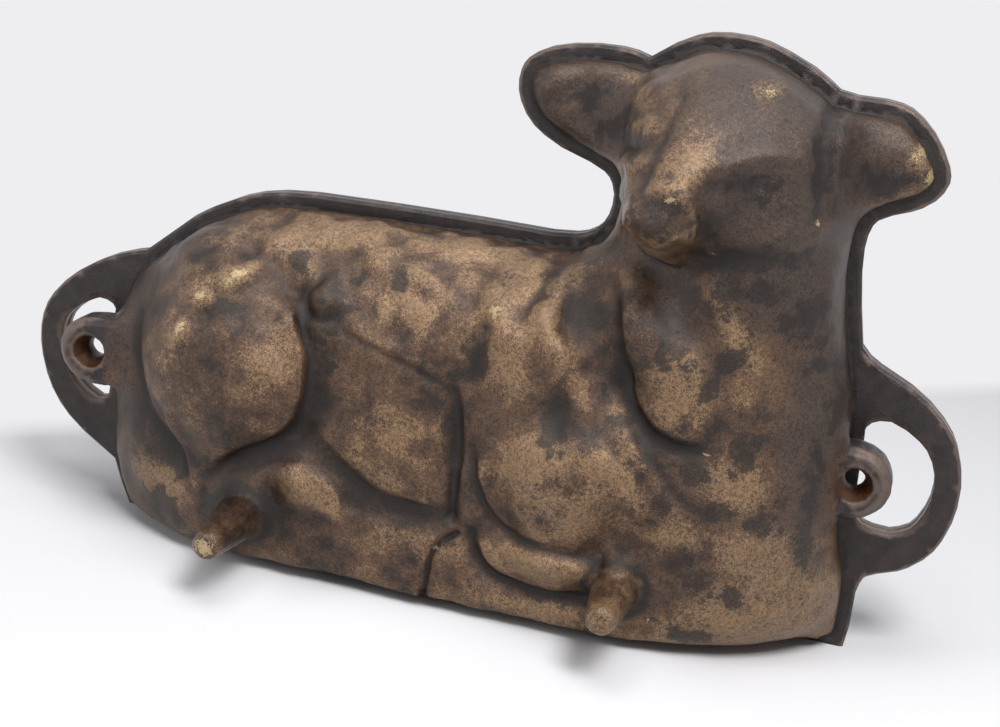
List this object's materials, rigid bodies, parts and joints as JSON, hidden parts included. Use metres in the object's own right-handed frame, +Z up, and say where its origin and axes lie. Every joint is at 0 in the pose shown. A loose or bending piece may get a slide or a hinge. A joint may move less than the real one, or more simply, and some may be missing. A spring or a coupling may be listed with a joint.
{
  "type": "lamb cake mold",
  "caption": "Two-part cast-iron cake mold in the form of a lying lamb on a low base, with D-shaped handles, eyed lugs and pegs that carry the face half level.",
  "frame": {"origin": "under the middle of the closed mold, on the surface that its rim's foot stands on", "axes": "+X towards the lamb's chest, along the length; -Y towards the viewer of the lamb's face; +Z up to the crown of the head"},
  "size_m": [0.3398, 0.1253, 0.2045],
  "materials": {
    "front_iron": "seasoned, bronze-brown and worn, with near-black patches",
    "back_iron": "seasoned, dark brown"
  },
  "bodies": {
    "front_half": {"front_half": "front_iron"},
    "back_half": {"back_half": "back_iron"}
  },
  "joints": [
    {"name": "back_lift_off", "type": "slide", "parent": "front_half", "child": "back_half", "axis": [0, 1, 0], "range_m": [0, 0.12]}
  ]
}
